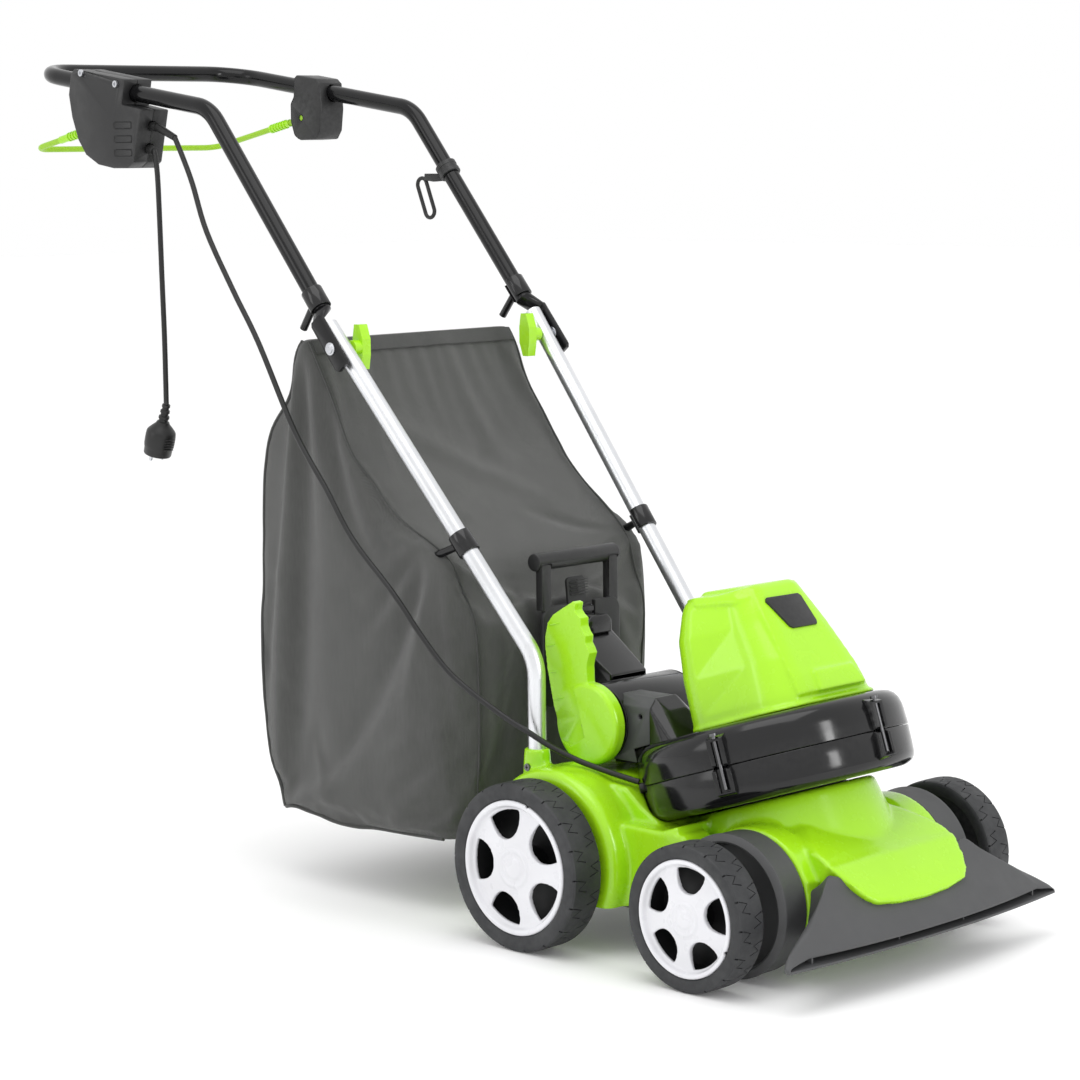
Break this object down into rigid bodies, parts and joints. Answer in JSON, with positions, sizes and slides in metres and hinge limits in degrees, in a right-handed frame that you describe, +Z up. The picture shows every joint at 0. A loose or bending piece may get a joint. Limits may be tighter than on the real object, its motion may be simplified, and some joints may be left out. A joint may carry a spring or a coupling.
{
  "type": "walk-behind garden vacuum blower",
  "caption": "Wheeled electric garden vacuum and blower: low nozzle, lime deck, upright motor on a fan drum, selector lever, folding handle with bail, and a hanging cloth collection bag.",
  "frame": {"origin": "on the ground, under the centre of the machine's bounding box", "axes": "+Z up; the nozzle faces -Y and the operator stands at +Y looking along -Y, so -X is on the operator's right"},
  "size_m": [0.5, 1.44, 1.056],
  "materials": {
    "lime_plastic": "semi-gloss moulded",
    "grey_plastic": "fine-grained matte moulded",
    "black_plastic": "polished moulded",
    "white_cover": "pearl-painted",
    "tyre_compound": "dull",
    "bare_tube": "satin anodised",
    "coated_tube": "black gloss powder coat",
    "lime_coated_rod": "dipped plastic coat over steel",
    "zinc_steel": "zinc plated",
    "cast_bracket": "as cast",
    "winding": "enamelled copper wire and laminations",
    "woven_cloth": "coated plain weave",
    "lead_sheath": "soft satin"
  },
  "bodies": {
    "machine": {"deck_shell": "lime_plastic", "belly_pan": "grey_plastic", "intake_nozzle": "grey_plastic", "intake_duct": "grey_plastic", "side_caps": "grey_plastic", "front_axle": "zinc_steel", "rear_axle": "zinc_steel", "axle_bushes": "grey_plastic", "axle_retainers": "zinc_steel", "fan_housing_lower": "black_plastic", "fan_housing_upper": "black_plastic", "body_screws": "zinc_steel", "motor_stator": "winding", "motor_bearings": "zinc_steel", "motor_bracket": "cast_bracket", "motor_cover": "lime_plastic", "badge_panel": "grey_plastic", "outlet_collar": "grey_plastic", "diverter_housing": "black_plastic", "diverter_end_cap": "black_plastic", "rear_duct": "black_plastic", "bag_connector": "grey_plastic", "latch_pin": "zinc_steel", "bag": "woven_cloth", "lower_clips": "black_plastic", "lower_tube_right": "bare_tube", "lower_tube_left": "bare_tube", "motor_lead_lower": "lead_sheath", "grommet": "lead_sheath"},
    "wheel_front_right": {"tyre_front_right": "tyre_compound", "rim_front_right": "white_cover"},
    "wheel_front_left": {"tyre_front_left": "tyre_compound", "rim_front_left": "white_cover"},
    "wheel_rear_right": {"tyre_rear_right": "tyre_compound", "rim_rear_right": "white_cover"},
    "wheel_rear_left": {"tyre_rear_left": "tyre_compound", "rim_rear_left": "white_cover"},
    "rotor": {"impeller": "grey_plastic", "motor_armature": "zinc_steel"},
    "handle": {"upper_handle": "coated_tube", "pivot_bolts": "zinc_steel", "upper_clips": "black_plastic", "switch_box_outer": "grey_plastic", "switch_box_inner": "grey_plastic", "switch_unit": "grey_plastic", "pivot_block": "grey_plastic", "box_screws": "zinc_steel", "cable_hook": "grey_plastic", "glands": "lead_sheath", "mains_lead": "lead_sheath", "plug": "lead_sheath", "motor_lead_upper": "lead_sheath"},
    "knob_right_body": {"knob_right": "lime_plastic"},
    "knob_left_body": {"knob_left": "lime_plastic"},
    "bail": {"bail_rod": "lime_coated_rod", "bail_boots": "lime_plastic"},
    "lock": {"lock_button": "lime_plastic"},
    "selector": {"mode_lever": "lime_plastic", "diverter_valve": "grey_plastic"},
    "latch": {"connector_latch": "grey_plastic"}
  },
  "joints": [
    {"name": "front_right_wheel_spin", "type": "hinge", "parent": "machine", "child": "wheel_front_right", "pos_m": [-0.229, -0.552, 0.084], "axis": [1, 0, 0], "continuous": true},
    {"name": "front_left_wheel_spin", "type": "hinge", "parent": "machine", "child": "wheel_front_left", "pos_m": [0.229, -0.552, 0.084], "axis": [1, 0, 0], "continuous": true},
    {"name": "rear_right_wheel_spin", "type": "hinge", "parent": "machine", "child": "wheel_rear_right", "pos_m": [-0.226, -0.286, 0.1], "axis": [1, 0, 0], "continuous": true},
    {"name": "rear_left_wheel_spin", "type": "hinge", "parent": "machine", "child": "wheel_rear_left", "pos_m": [0.226, -0.286, 0.1], "axis": [1, 0, 0], "continuous": true},
    {"name": "rotor_spin", "type": "hinge", "parent": "machine", "child": "rotor", "pos_m": [0, -0.49, 0.178], "axis": [0, 0.309, 0.9511], "continuous": true},
    {"name": "handle_fold", "type": "hinge", "parent": "machine", "child": "handle", "pos_m": [0, 0.07, 0.691], "axis": [1, 0, 0], "range_deg": [0, 150]},
    {"name": "knob_right_turn", "type": "hinge", "parent": "handle", "child": "knob_right_body", "pos_m": [-0.154, 0.07, 0.691], "axis": [1, 0, 0], "range_deg": [0, 720]},
    {"name": "knob_left_turn", "type": "hinge", "parent": "handle", "child": "knob_left_body", "pos_m": [0.154, 0.07, 0.691], "axis": [1, 0, 0], "range_deg": [0, 720]},
    {"name": "bail_squeeze", "type": "hinge", "parent": "handle", "child": "bail", "pos_m": [0, 0.52, 0.98], "axis": [1, 0, 0], "range_deg": [0, 28], "stiffness_Nm_per_rad": 0.9, "springref_deg": -22.92},
    {"name": "lock_press", "type": "slide", "parent": "handle", "child": "lock", "axis": [-1, 0, 0], "range_m": [0, 0.004], "stiffness_N_per_m": 400, "springref_m": -0.002},
    {"name": "selector_turn", "type": "hinge", "parent": "machine", "child": "selector", "pos_m": [-0.06, -0.284, 0.252], "axis": [1, 0, 0], "range_deg": [0, 70]},
    {"name": "latch_tilt", "type": "hinge", "parent": "machine", "child": "latch", "pos_m": [0, -0.156, 0.366], "axis": [-1, 0, 0], "range_deg": [0, 15], "stiffness_Nm_per_rad": 0.15, "springref_deg": -17.19}
  ]
}
